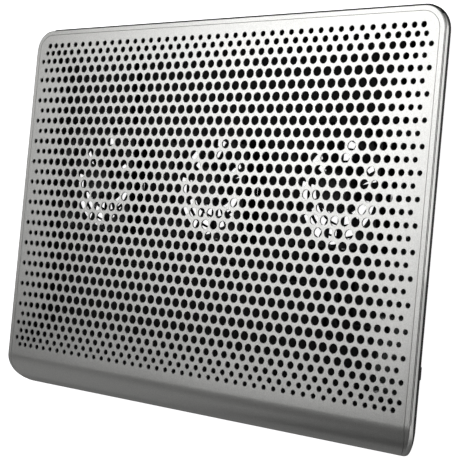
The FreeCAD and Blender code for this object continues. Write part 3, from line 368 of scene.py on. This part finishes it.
def triangulate(points, rings):
    """Triangles between the outline and the hole rings, as numbers of points."""
    edges = [(ring[i - 1], ring[i]) for ring in rings for i in range(len(ring))]
    made, _, faces, origins, _, _ = delaunay_2d_cdt(points, edges, [], 0, 1e-9)
    number = [origin[0] for origin in origins]
    ring_of = {}
    for r, ring in enumerate(rings[1:]):
        for point in ring:
            ring_of[point] = r
    triangles = []
    for face in faces:
        corners = [number[i] for i in face]
        owners = {ring_of.get(corner) for corner in corners}
        if len(owners) > 1 or None in owners:
            triangles.append(corners)
    return triangles


def make_plate(material):
    """The painted sheet: deck with rounded hole edges, running without a seam into the lip."""
    low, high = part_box("perforated_plate")
    half, back, top, bottom = high.x, high.y, high.z, low.z
    nose_y = low.y + NOSE_RADIUS
    outline = deck_outline(half, nose_y, back)
    holes = list(plate_holes())
    rings = [list(range(len(outline)))]
    flat = list(outline)
    inner = list(outline)
    steps = [math.radians(360) * k / HOLE_SIDES for k in range(HOLE_SIDES)]
    for centre, radius in holes:
        rings.append(list(range(len(flat), len(flat) + HOLE_SIDES)))
        for turn in steps:
            way = Vector((math.cos(turn), math.sin(turn)))
            flat.append(centre + way * (radius + HOLE_BEVEL))
            inner.append(centre + way * radius)
    triangles = triangulate(flat, rings)

    bm = bmesh.new()
    upper = [bm.verts.new((p.x, p.y, top)) for p in flat]
    lower = [bm.verts.new((p.x, p.y, top - SHEET)) for p in inner]
    for corners in triangles:
        bm.faces.new([upper[i] for i in corners])
        bm.faces.new([lower[i] for i in reversed(corners)])
    for ring in rings[1:]:
        throat = [bm.verts.new((inner[i].x, inner[i].y, top - HOLE_BEVEL)) for i in ring]
        for k, i in enumerate(ring):
            before = ring[k - 1]
            bm.faces.new((upper[before], upper[i], throat[k], throat[k - 1]))
            bm.faces.new((throat[k - 1], throat[k], lower[i], lower[before]))
    edge = rings[0]
    for k in range(2, len(edge) + 1):
        a, b = edge[k - 1], edge[k % len(edge)]
        bm.faces.new((upper[a], lower[a], lower[b], upper[b]))
    add_lip(bm, (upper[0], upper[1]), (lower[0], lower[1]), half, nose_y, bottom)
    bmesh.ops.recalc_face_normals(bm, faces=bm.faces)
    mesh = bpy.data.meshes.new("deck_sheet")
    bm.to_mesh(mesh)
    bm.free()
    plate = bpy.data.objects.new("deck_sheet", mesh)
    bpy.context.scene.collection.objects.link(plate)
    finish_mesh(plate, material)
    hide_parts("perforated_plate")
    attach(plate, "base")
    return plate


def add_lip(bm, outer, inside, half, nose_y, bottom):
    """The quarter-round lip, row by row from the deck's front edge down."""
    for step in range(1, NOSE_STEPS + 1):
        turn = QUARTER * step / NOSE_STEPS
        rows = []
        for radius in (NOSE_RADIUS, NOSE_RADIUS - SHEET):
            y = nose_y - radius * math.sin(turn)
            z = bottom + radius * math.cos(turn)
            x = half - LIP_CORNER + math.sqrt(LIP_CORNER ** 2 - max(0.0, LIP_FRONT + LIP_CORNER - y) ** 2)
            rows.append((bm.verts.new((-x, y, z)), bm.verts.new((x, y, z))))
        new_outer, new_inside = rows
        bm.faces.new((outer[0], new_outer[0], new_outer[1], outer[1]))
        bm.faces.new((inside[0], inside[1], new_inside[1], new_inside[0]))
        for side in (0, 1):
            bm.faces.new((outer[side], inside[side], new_inside[side], new_outer[side]))
        outer, inside = new_outer, new_inside
    bm.faces.new((outer[0], inside[0], inside[1], outer[1]))


def finish_mesh(thing, material):
    mesh = thing.data
    mesh.materials.append(material)
    mesh.shade_smooth()
    mesh.set_sharp_from_angle(angle=SMOOTH_ANGLE)


# ---------------------------------------------------------------- scene

CAMERA_PLACE = Vector((0.5756, -0.0274, 0.6755))
CAMERA_RIGHT = Vector((0.7653, 0.0927, -0.6369))
CAMERA_UP = Vector((-0.0567, 0.9954, 0.0767))
CAMERA_LENS = 95.7
CAMERA_SENSOR = 36
CAMERA_NEAR = 0.01
STAGE_RADIUS = 4.0

# rows of equal softboxes: name, first and last azimuth, count, elevation, power of each in watts
SOFTBOX_ROWS = (
    ("back_low", 102, 174, 5, 50, 1.15),
    ("back_high", 120, 180, 3, 65, 1.05),
)
LIGHT_DISTANCE = 1.35
SOFTBOX_SIZE = 0.5
FRONT_FILL = (220, 15, 0.7)
FRONT_FILL_SIZE = (0.8, 1.0)

# for the views from behind, the right and below: name, azimuth, elevation, size, power in watts
SURROUND_LIGHTS = (
    ("right_bank", 30, 16, (1.2, 0.7), 0.9),
    ("front_bank", -50, 16, (1.2, 0.7), 0.9),
    ("under_bank", 0, -90, (1.2, 1.2), 6.0),
)

# name, middle, size, power in watts
CARDS = (
    ("side_card_back", (0.34, 0.16), (0.28, 0.38), 0.72),
    ("side_card_front", (0.34, -0.10), (0.28, 0.14), 0.12),
    ("front_card", (-0.05, -0.29), (0.60, 0.29), 0.10),
)
WORLD_LIGHT = 0.015


def make_camera():
    camera = bpy.data.objects.new("camera", bpy.data.cameras.new("camera"))
    camera.data.lens = CAMERA_LENS
    camera.data.sensor_width = CAMERA_SENSOR
    camera.data.clip_start = CAMERA_NEAR
    right = CAMERA_RIGHT.normalized()
    back = right.cross(CAMERA_UP).normalized()
    up = back.cross(right)
    camera.matrix_world = Matrix.Translation(CAMERA_PLACE) @ Matrix((right, up, back)).transposed().to_4x4()
    bpy.context.scene.collection.objects.link(camera)
    bpy.context.scene.camera = camera


def add_light(name, place, target, size, power):
    lamp = bpy.data.lights.new(name, "AREA")
    lamp.shape = "RECTANGLE"
    lamp.size, lamp.size_y = size
    lamp.energy = power
    light = bpy.data.objects.new(name, lamp)
    light.location = place
    light.rotation_euler = (Vector(target) - Vector(place)).to_track_quat("-Z", "Y").to_euler()
    bpy.context.scene.collection.objects.link(light)
    return light


def light_place(azimuth, elevation):
    around, up = math.radians(azimuth), math.radians(elevation)
    return LIGHT_DISTANCE * Vector((
        math.cos(up) * math.cos(around), math.cos(up) * math.sin(around), math.sin(up),
    ))


def make_lights():
    """Softboxes behind and left, a low front fill, cards lying on the floor and banks for other views."""
    for name, first, last, count, elevation, power in SOFTBOX_ROWS:
        for k in range(count):
            place = light_place(first + (last - first) * k / (count - 1), elevation)
            add_light(f"{name}_{k + 1}", place, (0, 0, 0), (SOFTBOX_SIZE, SOFTBOX_SIZE), power)
    azimuth, elevation, power = FRONT_FILL
    add_light("front_fill", light_place(azimuth, elevation), (0, 0, 0), FRONT_FILL_SIZE, power)
    for name, (x, y), size, power in CARDS:
        card = add_light(name, (x, y, MM), (x, y, 1), size, power)
        card.visible_camera = False
    for name, azimuth, elevation, size, power in SURROUND_LIGHTS:
        add_light(name, light_place(azimuth, elevation), (0, 0, 0), size, power)
    world = bpy.data.worlds.new("studio")
    world.use_nodes = True
    shade = world.node_tree.nodes["Background"]
    shade.inputs["Color"].default_value = (1, 1, 1, 1)
    shade.inputs["Strength"].default_value = WORLD_LIGHT
    bpy.context.scene.world = world


def white_surround(name):
    """Even white that shows from its front only, so the pad can be seen from below as well."""
    m = Shader(name)
    m.surface.inputs["Base Color"].default_value = (0.9, 0.9, 0.9, 1)
    m.surface.inputs["Emission Color"].default_value = (1, 1, 1, 1)
    m.surface.inputs["Emission Strength"].default_value = 1.0
    behind = m.node("ShaderNodeNewGeometry").outputs["Backfacing"]
    mix = m.node("ShaderNodeMixShader")
    m.link(behind, mix.inputs["Fac"])
    m.link(m.surface.outputs["BSDF"], mix.inputs[1])
    m.link(m.node("ShaderNodeBsdfTransparent").outputs["BSDF"], mix.inputs[2])
    m.link(mix.outputs["Shader"], m.tree.nodes["Material Output"].inputs["Surface"])
    return m.material


def place_stage(name, mesh, material):
    """Only the camera sees the stage, so it leaves the light on the object alone."""
    mesh.materials.append(material)
    thing = bpy.data.objects.new(name, mesh)
    bpy.context.scene.collection.objects.link(thing)
    thing.visible_glossy = False
    thing.visible_diffuse = False
    thing.visible_shadow = False


def make_stage():
    """A white floor and a white dome round it."""
    white = white_surround("surround_white")
    floor = bpy.data.meshes.new("floor")
    h = STAGE_RADIUS
    floor.from_pydata([(-h, -h, 0), (h, -h, 0), (h, h, 0), (-h, h, 0)], [], [(0, 1, 2, 3)])
    place_stage("floor", floor, white)
    bm = bmesh.new()
    bmesh.ops.create_uvsphere(bm, u_segments=48, v_segments=24, radius=STAGE_RADIUS)
    bmesh.ops.reverse_faces(bm, faces=bm.faces)
    dome = bpy.data.meshes.new("backdrop")
    bm.to_mesh(dome)
    bm.free()
    place_stage("backdrop", dome, white)


bpy.context.scene.view_settings.view_transform = "Standard"
make_camera()
make_lights()
make_stage()
all_materials = make_materials()
dress_cad_nodes(all_materials)
make_plate(all_materials["satin_silver"])
